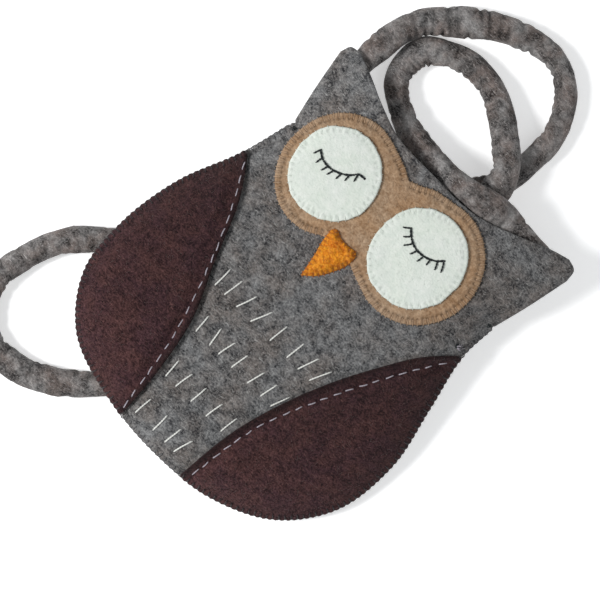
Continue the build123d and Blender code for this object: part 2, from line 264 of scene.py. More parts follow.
seam = [
    NECK_RIGHT, (86.6, 42.0), (94.5, 8.0), (103.3, -31.0), (98.5, -72.0), (78.5, -100.0),
    (43.5, -117.5), (3.0, -122.1), (-36.0, -118.6), (-79.0, -103.3), (-99.5, -76.0),
    (-103.5, -45.0), (-98.0, -4.0), (-84.0, 33.0), NECK_LEFT,
]
seam = smooth_curve(seam, EDGE_STEP)[::-1]
HEAD_CURVES = [
    [NECK_RIGHT, (92.2, 87.4), (97.2, 112.6)],
    [(97.2, 112.6), (95.6, 119.8), (89.5, 122.1)],
    [
        (89.5, 122.1), (78.9, 119.0), (63.5, 112.5), (33.5, 102.9), (3.5, 101.7),
        (-28.5, 102.4), (-46.5, 108.4), (-64.5, 116.3), (-77.0, 120.9),
    ],
    [(-77.0, 120.9), (-83.0, 119.6), (-85.4, 113.5)],
    [(-85.4, 113.5), (-80.4, 88.0), NECK_LEFT],
]
head = np.vstack([NECK_RIGHT, *[smooth_curve(points)[1:] for points in HEAD_CURVES]])
body_outline = np.vstack([seam, head[1:-1]])
seam_length = nearest(seam[-1:], seam)[1][0]


def at_stitch(place):
    """1 at each stitch of the side seams and 0 halfway between two."""
    return 0.5 + 0.5 * np.cos(2 * math.pi * place / SEAM_PITCH)


def scalloped(outline, overhang=0.0):
    """The outline drawn in at each edge stitch, standing out past the seam between them."""
    far, place = nearest(outline, seam)
    strength = EDGE_PULL * (1 + 0.9 * ripple(outline, 5.0, 7.0))
    pull = strength * at_stitch(place) ** 2 - overhang
    return outline + inward(outline) * (pull * (far < 0.5))[:, None]


SIDES = ("left", "right")
wing_inner = {
    "left": [
        (-93.0, 45.5), (-81.8, 35.7), (-68.6, 18.9), (-50.2, -21.0), (-35.3, -54.8), (-29.3, -84.4),
        (-25.2, -130.0),
    ],
    "right": [
        (95.0, 48.0), (84.0, 39.0), (71.8, 26.4), (56.8, 2.2), (37.8, -38.0), (25.7, -78.5),
        (20.8, -130.0),
    ],
}
wing_inner = {side: smooth_curve(edge) for side, edge in wing_inner.items()}


def wing_outline(inner):
    """The piece of the body that an inner edge cuts off, anticlockwise."""
    edge = inner[depth_in(inner, body_outline) > 0.4]
    ends = np.argmin(np.linalg.norm(seam[None] - edge[[0, -1]][:, None], axis=2), axis=1)
    run = seam[min(ends) : max(ends) + 1]
    if ends[0] > ends[1]:
        edge = edge[::-1]
    outline = np.vstack([run[1:-1], edge[::-1]])
    return outline if area_of(outline) > 0 else outline[::-1]


def ellipse_arc(centre, radii, start, end, count):
    """Points on an ellipse, anticlockwise from one angle to another, in degrees."""
    turn = np.radians(np.linspace(start, end, count))
    return [(centre[0] + radii[0] * math.cos(a), centre[1] + radii[1] * math.sin(a)) for a in turn]


def hand_cut(outline, waver):
    """The outline as scissors leave it, wavering a little."""
    return outline + inward(outline) * (waver * ripple(outline, 4.5, 6.0))[:, None]


CUT_STEP = 0.8
NOTCH_TOP = (-5.7, 88.7)       # where the mask's two lobes meet, above and below the beak
NOTCH_LOW = (-6.5, 37.0)
MASK_LOBES = [
    [NOTCH_TOP, (-11.0, 91.6), (-16.8, 94.0)]
    + ellipse_arc((-37.0, 62.4), (33.0, 36.7), 70, 304, 14)
    + [NOTCH_LOW],
    [NOTCH_LOW, (5.3, 31.6)]
    + ellipse_arc((30.5, 61.9), (36.0, 37.4), -114, 106, 14)
    + [(8.6, 95.3), (1.2, 91.7), NOTCH_TOP],
]
EYES = {
    "left": [
        (-11.2, 60.5), (-14.5, 74.0), (-23.5, 84.6), (-37.0, 89.3), (-50.5, 86.0), (-60.8, 76.0),
        (-63.6, 62.0), (-59.8, 47.5), (-50.0, 37.6), (-37.0, 34.8), (-23.8, 39.2), (-14.4, 48.2),
    ],
    "right": [
        (56.2, 62.3), (52.8, 75.8), (43.2, 86.5), (29.8, 90.6), (15.4, 87.3), (5.4, 77.0),
        (1.8, 62.0), (5.0, 46.5), (14.6, 35.8), (28.6, 32.3), (43.0, 36.2), (53.2, 47.5),
    ],
}
BEAK_SIDES = [
    [(-17.0, 38.4), (-16.2, 31.5), (-13.8, 22.3), (-10.8, 8.0)],
    [(-10.8, 8.0), (-4.2, 14.0), (0.8, 22.7), (3.7, 30.0), (3.9, 36.4)],
    [(3.9, 36.4), (2.6, 38.7), (-4.4, 38.5), (-10.1, 38.9), (-14.8, 40.6), (-17.0, 38.4)],
]
mask_outline = hand_cut(np.vstack([smooth_curve(lobe, CUT_STEP)[:-1] for lobe in MASK_LOBES]), 0.3)
eye_outline = {
    side: hand_cut(smooth_curve(EYES[side], CUT_STEP, closed=True)[:-1], 0.5) for side in SIDES
}
beak_outline = np.vstack([smooth_curve(edge, EDGE_STEP)[:-1] for edge in BEAK_SIDES])

# === heights of the felt layers
RIDGE_TOP = np.array([33.5, 121.0])
RIDGE_HEIGHT = 19.2
RIDGE_HEADING = math.radians(243.0)
RIDGE_FALL = math.radians(1.0)
DRAPE_RADIUS = 589.0
ALONG = np.array([math.cos(RIDGE_HEADING), math.sin(RIDGE_HEADING)])
ACROSS = np.array([-math.sin(RIDGE_HEADING), math.cos(RIDGE_HEADING)])

BODY_FELT = 3.0
SEWN_FELT = 2.2               # the body felt is squeezed to this along the side seams
TRIM_FELT = 2.0
BACK_RIM, BACK_INSIDE = 3.1, 1.6
FRONT_RIM, FRONT_INSIDE = 5.4, 12.4
PUFF_WIDTH = 25.0             # the pouch reaches its full depth this far from the seams
MOUTH_GAP = 1.0
BACK_RISE = 3.5
WING_OVERHANG = 0.4           # the wings hide the edges of the two body felts below them
GROOVE = 1.0                  # depth of the furrow that a row of running stitches draws
RUNNING_PITCH = 7.6           # of the stitches in that row

running_row = {
    "left": [(-79.5, 32.0), (-66.5, 10.0), (-48.5, -31.0), (-36.5, -69.0), (-28.0, -117.0)],
    "right": [(83.0, 33.0), (70.5, 12.5), (48.5, -31.0), (33.5, -68.0), (25.8, -117.0)],
}
running_row = {side: smooth_curve(row, 0.5) for side, row in running_row.items()}


def drape(p):
    """Height of the bag's underside above the floor, where it hangs over the strap below it."""
    offset = p - RIDGE_TOP
    sagitta = DRAPE_RADIUS - np.sqrt(DRAPE_RADIUS**2 - (offset @ ACROSS) ** 2)
    return np.logaddexp(0, RIDGE_HEIGHT - math.tan(RIDGE_FALL) * (offset @ ALONG) - sagitta)


def puff(p):
    """0 at the sewn sides, 1 well inside the pouch and at the open mouth."""
    return 1 - (1 - np.clip(nearest(p, seam)[0] / PUFF_WIDTH, 0, 1)) ** 2.3


def notched(p):
    """1 in the notches that the seam's stitches cut into the edge."""
    far, place = nearest(p, seam)
    return at_stitch(place) ** 4 * hump(far, 1.9)


def body_thickness(p):
    """Full inside the pouch and squeezed along the side seams."""
    return SEWN_FELT + (BODY_FELT - SEWN_FELT) * ease(nearest(p, seam)[0] / 7)


def pinch(p):
    """1 where an edge stitch pulls the layers together, fading within a few millimetres."""
    far, place = nearest(p, seam)
    return at_stitch(place) * hump(far, 2.6)


def back_middle(p):
    """The back panel's middle, lying over the strap and lower inside the pouch than at its rim."""
    inside = puff(p)
    height = drape(p) + BACK_RIM + (BACK_INSIDE - BACK_RIM) * inside
    return height + 0.15 * pinch(p) + 0.2 * ripple(p, 30, 4.0) * (1 - inside)


def front_middle(p):
    """The front panel's middle: domed over the pouch, sinking a little towards its free edge."""
    inside = puff(p)
    free = nearest(p, head)[0]
    height = drape(p) + FRONT_RIM + (FRONT_INSIDE - FRONT_RIM) * inside
    height += inside * (0.75 * ripple(p, 42, 1.0) + 0.3 * ripple(p, 15, 2.0))
    height += inside * np.exp(-free / 11) * (-1.3 + 0.9 * ripple(p, 26, 3.0))
    rows = np.minimum(*[nearest(p, row)[0] for row in running_row.values()])
    return height - 0.25 * pinch(p) - GROOVE * hump(rows, 2.8)


class Layer:
    """One sheet of felt: its outline, the height of its middle and its thickness at any point."""

    def __init__(self, outline, middle, thickness):
        self.outline = outline
        self.middle = middle
        self.thickness = thickness

    def top(self, p):
        return self.middle(p) + self.thickness(p) / 2

    def bottom(self, p):
        return self.middle(p) - self.thickness(p) / 2


def drawn_down(outline):
    """The front's free edge sinks between the ears, so the mouth gapes a little there."""
    sunk = MOUTH_GAP * hump(outline[:, 0] - 22.0, 30.0) * (outline[:, 1] > 98)
    return outline - np.column_stack([np.zeros(len(outline)), sunk])


def raised_up(outline):
    """The back's free edge reaches up behind the strap, where the strap goes into the mouth."""
    raised = BACK_RISE * hump(outline[:, 0] - 34.0, 26.0) * (outline[:, 1] > 98)
    return outline + np.column_stack([np.zeros(len(outline)), raised])


back = Layer(raised_up(scalloped(body_outline)), back_middle, body_thickness)
front = Layer(drawn_down(scalloped(body_outline)), front_middle, body_thickness)


def running_stitches(row):
    """The running stitches along a wing's row, each as its two ends."""
    length = nearest(row[-1:], row)[1][0]
    count = int(length / RUNNING_PITCH)
    reached = np.linspace(0, length, len(row))
    stitches = []
    for i in range(count):
        middle = (i + 0.5) * length / count + random.uniform(-0.5, 0.5)
        half = 2.5 + random.uniform(-0.35, 0.35)
        sway = random.uniform(-0.35, 0.35)
        ends = point_at(np.array([middle - half, middle + half]), reached, row)
        stitches.append(ends + [[sway, 0], [-sway, 0]])
    return stitches


running = {side: running_stitches(running_row[side]) for side in SIDES}


def make_wing(inner, row, stitches, seed):
    """A wing sewn in along the side seam, its free inner edge curling up past its stitches."""
    outline = wing_outline(inner)
    holes = np.vstack(stitches)

    def thickness(p):
        lip = 0.6 * hump(nearest(p, inner)[0], 2.5)
        return TRIM_FELT + lip - 0.35 * np.exp(-nearest(p, seam)[0] / 3) - 0.25 * dimples(p, holes, 1.3)

    def middle(p):
        edge, sewn = nearest(p, inner)[0], nearest(p, row)[0]
        free = ease(nearest(p, seam)[0] / 14)
        lip = hump(edge - 1.6, 2.1) * (1.2 + 0.5 * ripple(p, 13, seed))
        swell = ease((edge - 5.0) / 7.5) * np.exp(-np.maximum(edge - 12.0, 0) / 11.0)
        wave = 0.35 * ripple(p, 19, seed + 5) * ease((sewn - 2.0) / 6.0) * free
        held = 0.3 * dimples(p, holes, 1.2)
        return front.top(p) + 0.4 + thickness(p) / 2 + lip + (1.5 * swell + wave) * free - held

    return Layer(scalloped(outline, WING_OVERHANG), middle, thickness)


wings = {
    side: make_wing(wing_inner[side], running_row[side], running[side], seed)
    for side, seed in (("left", 11.0), ("right", 17.0))
}


def sewn_edge(outline, pitch, depth, wanted=lambda p: True):
    """Stitches square to a closed outline: the place on the edge and the hole inside it."""
    loop = looped(outline)
    length = reached_along(loop)[-1]
    count = round(length / pitch)
    reached = np.linspace(0, length, len(loop))
    into = inward(outline)
    stitches = []
    for i in range(count):
        place = (i + 0.5 + random.uniform(-0.12, 0.12)) * length / count
        at = point_at(place, reached, loop)
        normal = into[int(round(place / length * len(outline))) % len(outline)]
        slant = np.array([-normal[1], normal[0]]) * random.uniform(-0.3, 0.3)
        if wanted(at):
            stitches.append((at, at + normal * (depth + random.uniform(-0.25, 0.25)) + slant))
    return stitches


def clear_of_beak(at):
    """Whether a place on the mask's edge is not hidden by the beak."""
    return at[1] > 41 or at[0] < -18.5 or at[0] > 5.5


mask_stitches = sewn_edge(mask_outline, pitch=3.1, depth=3.4, wanted=clear_of_beak)
eye_stitches = {side: sewn_edge(eye_outline[side], pitch=3.9, depth=2.5) for side in SIDES}
beak_stitches = sewn_edge(beak_outline, pitch=3.0, depth=2.1)
BEAK_TUFTS = [
    (-12.6, 34.8), (-9.0, 35.6), (-3.4, 35.2), (0.4, 34.2), (-11.4, 29.2), (-6.2, 30.8),
    (-1.4, 29.6), (-9.2, 24.6), (-4.6, 25.4), (-0.6, 24.9), (-10.2, 19.2), (-6.2, 20.0),
    (-8.6, 14.6), (-6.8, 16.6),
]


def holes_of(stitches):
    """Where the stitches go into the felt."""
    return [hole for edge, hole in stitches]


def sewn_down(outline, below, full, stitches, pucker, reach):
    """Felt laid on a surface and whipped down along its edge, puckered between the stitches."""
    loop = looped(outline)
    holes = holes_of(stitches)

    def thickness(p):
        depth = nearest(p, loop)[0]
        edge = 0.35 * np.exp(-depth / 1.3)
        band = pucker * hump(depth, reach)
        return full - edge - band * grooves(p, stitches, 0.95) - 0.45 * dimples(p, holes, 0.95)

    def middle(p):
        return below(p) + 0.06 + thickness(p) / 2

    return Layer(outline, middle, thickness)


mask = sewn_down(mask_outline, front.top, TRIM_FELT + 0.3, mask_stitches, 0.9, 4.5)
eyes = {
    side: sewn_down(eye_outline[side], mask.top, TRIM_FELT, eye_stitches[side], 0.25, 3.0)
    for side in SIDES
}


def under_beak(p):
    """The mask where the beak overlaps it, and the front elsewhere."""
    return front.top(p) + (mask.top(p) - front.top(p)) * ease(depth_in(p, mask_outline) / 1.2 + 0.6)


def beak_thickness(p):
    """A padded dome, drawn in at its tufts and along its edge stitches."""
    depth = np.maximum(depth_in(p, beak_outline), 0)
    dome = 1.1 + 4.4 * (1 - (1 - np.clip(depth / 8.0, 0, 1)) ** 2.4) + 0.35 * ripple(p, 4.5, 8.0)
    tufted = 0.8 * dimples(p, BEAK_TUFTS, 1.0) + 0.75 * grooves(p, beak_stitches, 0.7)
    return dome - tufted


beak = Layer(beak_outline, lambda p: under_beak(p) + 0.05 + beak_thickness(p) / 2, beak_thickness)

# === meshes


def make_object(name, vertices, faces, material, painted_shade=None):
    """A smooth mesh object from vertices in millimetres; its last argument is painted shade, how far
    the felt's colour is darkened for shade at each vertex.
    """
    mesh = bpy.data.meshes.new(name)
    mesh.from_pydata([tuple(v) for v in np.asarray(vertices) * MM], [], faces)
    mesh.polygons.foreach_set("use_smooth", [True] * len(mesh.polygons))
    mesh.materials.append(material)
    if painted_shade is not None:
        # The attribute holds painted shade. The felt materials darken the wool by it for shade in
        # stitch dimples, grooves and creases, and for light falling off across the bag.
        shade_mark = mesh.attributes.new("painted_shade", "FLOAT", "POINT")
        shade_mark.data.foreach_set("value", np.asarray(painted_shade, np.float32))
    mesh.update()
    made = bpy.data.objects.new(name, mesh)
    bpy.context.scene.collection.objects.link(made)
    return made


def felt(name, layer, material, spacing, depths, painted_shade=lambda p: np.zeros(len(p))):
    """A closed sheet of felt with rounded cut edges, on a triangle grid inside its outline."""
    outline = layer.outline
    loop = looped(outline)
    into = inward(outline)
    rows = []
    for depth in depths:
        moved = outline + into * depth
        rows.append(moved[nearest(moved, loop)[0] > 0.92 * depth])
    low, high = outline.min(0), outline.max(0)
    rise = spacing * math.sqrt(3) / 2
    grid = np.array([
        (x + (spacing / 2 if row % 2 else 0), low[1] + row * rise)
        for row in range(int((high[1] - low[1]) / rise) + 2)
        for x in np.arange(low[0], high[0] + spacing, spacing)
    ])
    grid = grid[depth_in(grid, outline) > depths[-1] + 0.55 * spacing]
    shift = np.column_stack([ripple(grid * 3.1, 1.0, seed) for seed in (1.5, 2.5)])
    grid += shift * 0.15 * spacing
    p = np.vstack([outline, *rows, grid])
    found = geometry.delaunay_2d_cdt([tuple(v) for v in p], [], [list(range(len(outline)))], 1, 1e-5)
    p = np.array([tuple(v) for v in found[0]])
    rim = np.array([any(i < len(outline) for i in origin) for origin in found[3]])
    depth = nearest(p, loop)[0]
    thickness = layer.thickness(p)
    share = np.clip(1 - depth / (thickness / 2), 0, 1)
    half = np.where(rim, 0, thickness / 2 * (1 - share**2.4) ** (1 / 2.4))
    middle = layer.middle(p)
    lower = np.where(rim, np.arange(len(p)), len(p) + np.cumsum(~rim) - 1)
    upper = np.column_stack([p, middle + half])
    under = np.column_stack([p, middle - half])[~rim]
    faces = []
    for a, b, c in found[2]:
        if np.cross(p[b] - p[a], p[c] - p[a]) < 0:
            b, c = c, b
        faces.append((a, b, c))
        faces.append((int(lower[c]), int(lower[b]), int(lower[a])))
    # Painted shade at each vertex, the same on the underside.
    shade_mark = painted_shade(p)
    shade_mark = np.concatenate([shade_mark, shade_mark[~rim]])
    return make_object(name, np.vstack([upper, under]), faces, material, shade_mark)


def carried_frames(line):
    """Heading and two square directions at each point of a line, carried along without twist."""
    heading = unit(np.gradient(line, axis=0))
    side = [unit(np.cross(heading[0], (0.3, 0.2, 1.0)))]
    for h in heading[1:]:
        side.append(unit(side[-1] - h * (side[-1] @ h)))
    side = np.array(side)
    return heading, side, np.cross(heading, side)


def tube_faces(rings, sides):
    """Faces round a tube of that many rings, with a face at each end."""
    faces = []
    for i in range(rings - 1):
        for j in range(sides):
            a, b = i * sides + j, i * sides + (j + 1) % sides
            faces.append((a, b, b + sides, a + sides))
    faces.append(tuple(range(sides))[::-1])
    faces.append(tuple(range((rings - 1) * sides, rings * sides)))
    return faces


def strand(line, radius, sides=6):
    """Vertices and faces of one round strand with rounded ends along a line."""
    heading, side, up = carried_frames(line)
    size = np.full(len(line), radius)
    size[[0, -1]] *= 0.45
    size[[1, -2]] *= 0.85
    turn = np.arange(sides) * 2 * math.pi / sides
    ring = np.cos(turn)[None, :, None] * side[:, None] + np.sin(turn)[None, :, None] * up[:, None]
    vertices = (line[:, None] + ring * size[:, None, None]).reshape(-1, 3)
    return vertices, tube_faces(len(line), sides)


def thread(line, radius, step=0.42):
    """Two-ply sewing thread of that radius along a line through a few points."""
    line = smooth_curve(line, step) if len(line) > 2 else resample(line, step)
    if len(line) < 4:
        line = resample(line, reached_along(line)[-1] / 4)
    side, up = carried_frames(line)[1:]
    plies = []
    for start in (0.0, math.pi):
        turn = (reached_along(line) / (6.5 * radius) * 2 * math.pi + start)[:, None]
        centre = line + (np.cos(turn) * side + np.sin(turn) * up) * radius * 0.45
        plies.append(strand(centre, radius * 0.6))
    return plies


# === materials


def new_node(tree, kind, inputs=None, **settings):
    """A shader node; an input is a plain value or another node's output."""
    made = tree.nodes.new("ShaderNode" + kind)
    for key, value in settings.items():
        setattr(made, key, value)
    for key, value in (inputs or {}).items():
        if isinstance(value, bpy.types.NodeSocket):
            tree.links.new(value, made.inputs[key])
        else:
            made.inputs[key].default_value = value
    return made


def mixed(tree, share, first, second, blend="MIX"):
    """A colour between two others, or one multiplied by the other."""
    inputs = {0: share, 6: first, 7: second}
    return new_node(tree, "Mix", inputs, data_type="RGBA", blend_type=blend).outputs[2]


def ranged(tree, value, low, high, to_low=0.0, to_high=1.0):
    """A value stretched from one range to another."""
    inputs = {"Value": value, "From Min": low, "From Max": high, "To Min": to_low, "To Max": to_high}
    return new_node(tree, "MapRange", inputs).outputs["Result"]


def maths(tree, operation, *values):
    """One step of arithmetic on values that change over the cloth."""
    return new_node(tree, "Math", dict(enumerate(values)), operation=operation).outputs[0]


def lumps(tree, vector, size, detail=3.0, roughness=0.55, output="Fac"):
    """Noise with lumps of that size in millimetres."""
    inputs = {"Vector": vector, "Scale": 1 / (size * MM), "Detail": detail, "Roughness": roughness}
    return new_node(tree, "TexNoise", inputs).outputs[output]


def hairs(tree, vector, degrees, length, width):
    """Streaks of that length and width in millimetres, lying one way like wool fibres."""
    turn = (0.0, 0.0, math.radians(degrees))
    scale = (1 / (length * MM), 1 / (width * MM), 1 / (width * MM))
    laid = new_node(tree, "Mapping", {"Vector": vector, "Rotation": turn, "Scale": scale})
    inputs = {"Vector": laid.outputs["Vector"], "Scale": 1.0, "Detail": 2.0, "Roughness": 0.6}
    return new_node(tree, "TexNoise", inputs).outputs["Fac"]


def start_material(name, roughness, sheen):
    """An empty cloth material with its shader and object coordinates."""
    material = bpy.data.materials.new(name)
    material.use_nodes = True
    tree = material.node_tree
    shader = tree.nodes["Principled BSDF"]
    shader.inputs["Roughness"].default_value = roughness
    shader.inputs["Specular IOR Level"].default_value = 0.22
    shader.inputs["Sheen Weight"].default_value = sheen
    shader.inputs["Sheen Roughness"].default_value = 0.45
    return material, tree, shader, new_node(tree, "TexCoord").outputs["Object"]


def add_relief(tree, shader, height, distance):
    """Bumps of that height in millimetres."""
    relief = new_node(tree, "Bump", {"Height": height, "Distance": distance * MM, "Strength": 1.0})
    tree.links.new(relief.outputs["Normal"], shader.inputs["Normal"])


def woven_hairs(tree, place, laid, operation):
    """The strongest, or weakest, of several sets of streaks, each with its angle and length."""
    joined = None
    for degrees, length in laid:
        streaks = hairs(tree, place, degrees, length, 0.62)
        joined = streaks if joined is None else maths(tree, operation, joined, streaks)
    return joined


ABOVE = ((24.0, 6.0), (-38.0, 5.0), (82.0, 6.5), (-80.0, 5.0))
BELOW = ((58.0, 5.0), (-12.0, 5.5), (-62.0, 4.5))


def felt_material(name, dark, light, tint, hair, hair_share=0.6, shadow=0.6, cloud=5.0, grain=1.25,
                  clouding=0.4, patch=17.0, bump=0.5, sheen=0.12):
    """Matted wool: clouds and grains of two tones, large tinted patches and crossing fibres, darkened
    by painted shade from the mesh.
    """
    material, tree, shader, place = start_material(name, 0.95, sheen)
    swirl = {0: lumps(tree, place, 6.0, 2.0, output="Color"), 1: (0.004, 0.004, 0.004), 2: place}
    warped = new_node(tree, "VectorMath", swirl, operation="MULTIPLY_ADD").outputs["Vector"]
    clouds = ranged(tree, lumps(tree, warped, cloud, 2.0), 0.36, 0.64)
    grains = ranged(tree, lumps(tree, place, grain, 3.0, 0.65), 0.40, 0.60)
    tones = {0: 1 - clouding, 2: clouds, 3: grains}
    share = new_node(tree, "Mix", tones, data_type="FLOAT").outputs[0]
    patches = ranged(tree, lumps(tree, place, patch), 0.38, 0.62)
    wool = mixed(tree, share, (*dark, 1.0), (*light, 1.0))
    wool = mixed(tree, patches, wool, mixed(tree, 1.0, wool, (*tint, 1.0), "MULTIPLY"))
    above = woven_hairs(tree, warped, ABOVE, "MAXIMUM")
    below = woven_hairs(tree, warped, BELOW, "MINIMUM")
    deep = ranged(tree, below, 0.36, 0.24, 0.0, shadow)
    wool = mixed(tree, deep, wool, (*[0.35 * level for level in dark], 1.0))
    wool = mixed(tree, ranged(tree, above, 0.62, 0.76, 0.0, hair_share), wool, (*hair, 1.0))
    # Painted shade: the mesh's shade attribute darkens the wool's colour, to 0.35 of it where the
    # attribute is 1.
    painted_shade = new_node(tree, "Attribute", attribute_name="painted_shade").outputs["Fac"]
    shade = ranged(tree, painted_shade, 0.0, 1.0, 1.0, 0.35)
    tree.links.new(mixed(tree, 1.0, wool, shade, "MULTIPLY"), shader.inputs["Base Color"])
    add_relief(tree, shader, maths(tree, "MULTIPLY_ADD", above, 0.9, share), bump)
    return material


def thread_material(name, colour, vary=0.2, sheen=0.3):
    """Soft spun cotton: fine fibres and a little unevenness along the thread."""
    material, tree, shader, place = start_material(name, 0.8, sheen)
    fuzz = hairs(tree, place, 35.0, 1.2, 0.16)
    fine = ranged(tree, fuzz, 0.3, 0.7, 1 - vary, 1 + vary)
    coarse = ranged(tree, lumps(tree, place, 2.4), 0.35, 0.65, 1 - vary, 1.0)
    cotton = mixed(tree, 1.0, mixed(tree, 1.0, (*colour, 1.0), fine, "MULTIPLY"), coarse, "MULTIPLY")
    tree.links.new(cotton, shader.inputs["Base Color"])
    add_relief(tree, shader, fuzz, 0.12)
    return material


body_felt = felt_material(
    "body_felt", (0.022, 0.023, 0.027), (0.292, 0.291, 0.291), (0.90, 0.80, 0.74),
    hair=(0.52, 0.515, 0.50), hair_share=0.7, shadow=0.45, clouding=0.5, patch=20.0,
)
strap_felt = felt_material(
    "strap_felt", (0.020, 0.018, 0.018), (0.365, 0.350, 0.342), (0.66, 0.56, 0.52),
    hair=(0.58, 0.54, 0.52), hair_share=0.65, shadow=0.3, cloud=8.5, clouding=0.65, patch=13.0,
)
wing_felt = felt_material(
    "wing_felt", (0.016, 0.005, 0.006), (0.106, 0.046, 0.044), (0.76, 0.77, 0.94),
    hair=(0.23, 0.112, 0.100), hair_share=0.6, shadow=0.4, cloud=4.0, patch=14.0, sheen=0.03,
)
tan_felt = felt_material(
    "tan_felt", (0.245, 0.152, 0.086), (0.475, 0.335, 0.224), (0.95, 0.86, 0.76),
    hair=(0.58, 0.44, 0.31), hair_share=0.35, shadow=0.15, cloud=3.6, clouding=0.55, bump=0.3,
    sheen=0.05,
)
white_felt = felt_material(
    "white_felt", (0.66, 0.71, 0.65), (0.765, 0.79, 0.74), (0.97, 0.985, 0.96),
    hair=(0.84, 0.87, 0.83), hair_share=0.25, shadow=0.04, cloud=4.5, clouding=0.6, bump=0.18,
    sheen=0.03,
)
orange_felt = felt_material(
    "orange_felt", (0.56, 0.120, 0.005), (0.92, 0.375, 0.036), (1.0, 1.0, 0.55),
    hair=(0.95, 0.52, 0.12), hair_share=0.4, shadow=0.2, cloud=3.0, grain=1.0, patch=6.0,
    bump=0.4, sheen=0.04,
)
white_thread = thread_material("white_thread", (0.77, 0.77, 0.73), 0.1)
lilac_thread = thread_material("lilac_thread", (0.46, 0.42, 0.47), 0.2)
wool_hair = thread_material("wool_hair", (0.36, 0.34, 0.33), 0.45)
wing_hair = thread_material("wing_hair", (0.14, 0.078, 0.070), 0.4)
tan_hair = thread_material("tan_hair", (0.52, 0.40, 0.28), 0.3)
white_hair = thread_material("white_hair", (0.80, 0.84, 0.78), 0.1)
orange_hair = thread_material("orange_hair", (0.78, 0.34, 0.05), 0.3)
grey_thread = thread_material("grey_thread", (0.115, 0.112, 0.115))
brown_thread = thread_material("brown_thread", (0.020, 0.011, 0.013))
tan_thread = thread_material("tan_thread", (0.50, 0.34, 0.22))
orange_thread = thread_material("orange_thread", (0.50, 0.14, 0.012))
eye_thread = thread_material("eye_thread", (0.70, 0.75, 0.68), 0.1)
lash_thread = thread_material("lash_thread", (0.010, 0.015, 0.016))


def bends(piece):
    """The piece's placement is baked into its mesh; it is not attached to the bag."""
    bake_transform(piece)


def ride_bag(piece):
    """The piece goes with the bag."""
    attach(piece, "bag")


def fasten(piece, place, slot, *nodes):
    """Fastens a piece by ride_bag or bends, and hides the CAD nodes it replaces; slot, the finish's
    name, is not used.
    """
    place(piece)
    if nodes:
        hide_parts(*nodes)
    return piece


# Rows of belly stitches: the heights of their lower and upper ends, and the two ends' places.
belly_rows = [
    (-30.5, -17.5, [(-41, -41), (-33.5, -31.5), (-24, -19.5), (-12.5, -7), (3, 4.5),
                    (16.5, 18), (25.5, 30), (34.5, 40.5)]),
    (-56.5, -44.5, [(-30, -31), (-19, -21), (-12, -9.5), (-1.5, 0.5), (11, 14),
                    (21.5, 24), (29.5, 34)]),
    (-86.5, -74.0, [(-24, -25), (-16, -14), (-4, -3), (8, 10), (20, 21.5)]),
    (-113.5, -101.0, [(-21.5, -20.5), (-7.5, -7.5), (2, 3.5), (9.5, 13)]),
]
belly = [
    np.array([(lower_x, low_y), (upper_x, high_y)], float)
    for low_y, high_y, ends in belly_rows
    for lower_x, upper_x in ends
]
belly_holes = np.vstack(belly)


def front_sewn(p):
    """The front's middle, pulled down where the belly stitches go through it."""
    return front_middle(p) - 0.8 * dimples(p, belly_holes, 1.5)


front.middle = front_sewn

back_piece = felt("back_felt", back, body_felt, 2.6, (0.35, 0.9, 1.7))
fasten(back_piece, ride_bag, "body_felt", "back_panel")


def painted_front_shade(p):
    """Painted shade on the front's wool: darker away from the left ear, most of all at the right, where
    the light falls off across the bag.
    """
    away = np.linalg.norm(p - (-70.0, 108.0), axis=1)
    cheek = ease((p[:, 0] - 30) / 50) * ease((p[:, 1] - 10) / 60)
    return 0.19 * ease((away - 18) / 45) + 0.18 * cheek


# The front's painted shade: the light's falloff across the bag, and shade in the belly stitch dimples
# and the seam's notches.
front_piece = felt(
    "front_felt", front, body_felt, 2.0, (0.35, 0.9, 1.7, 2.6),
    lambda p: np.maximum(painted_front_shade(p), 0.6 * np.maximum(dimples(p, belly_holes, 1.0), notched(p))),
)
fasten(front_piece, bends, "body_felt", "front_panel", "face_flap")


def painted_wing_falloff(p):
    """Painted shade on the brown wool: darker from the wings' lower ends to their shoulders, as the
    light falls off.
    """
    return np.clip(0.46 + 0.0046 * p[:, 1], 0.0, 0.6)


def painted_wing_shade(side):
    """How far painted shade darkens a wing: the light's falloff towards its shoulders, along its free
    lip that turns away from the light, and in its stitch dimples and the seam's notches.
    """
    holes = np.vstack(running[side])

    def wing_shade_at(p):
        # painted shade on the lip, which turns away from the light
        lip = np.exp(-((nearest(p, wing_inner[side])[0] / 3.2) ** 4))
        # painted shade in the stitch dimples and the seam's notches
        sewn = np.maximum(0.8 * dimples(p, holes, 0.9), 0.9 * notched(p))
        return np.maximum(np.maximum(lip, painted_wing_falloff(p)), sewn)

    return wing_shade_at


for side in SIDES:
    piece = felt(
        f"wing_felt_{side}", wings[side], wing_felt, 1.7, (0.3, 0.8, 1.5, 2.4), painted_wing_shade(side)
    )
    fasten(piece, ride_bag, "wing_felt", f"wing_{side}")

# Painted shade on the mask: darker along the puckered stitch grooves and in the stitch holes.
mask_piece = felt(
    "mask_felt", mask, tan_felt, 1.3, (0.3, 0.7, 1.2, 1.8, 2.5, 3.3),
    lambda p: 0.95 * np.maximum(
        0.6 * grooves(p, mask_stitches, 0.6), dimples(p, holes_of(mask_stitches), 0.95)
    ),
)
fasten(mask_piece, bends, "tan_felt", "eye_mask")

# Painted shade on the eyes: a little darker in the stitch dimples.
for side in SIDES:
    piece = felt(
        f"eye_felt_{side}", eyes[side], white_felt, 1.4, (0.3, 0.8, 1.4, 2.1, 2.9),
        lambda p: 0.22 * dimples(p, holes_of(eye_stitches[side]), 0.75),
    )
    fasten(piece, bends, "white_felt", f"eye_{side}")

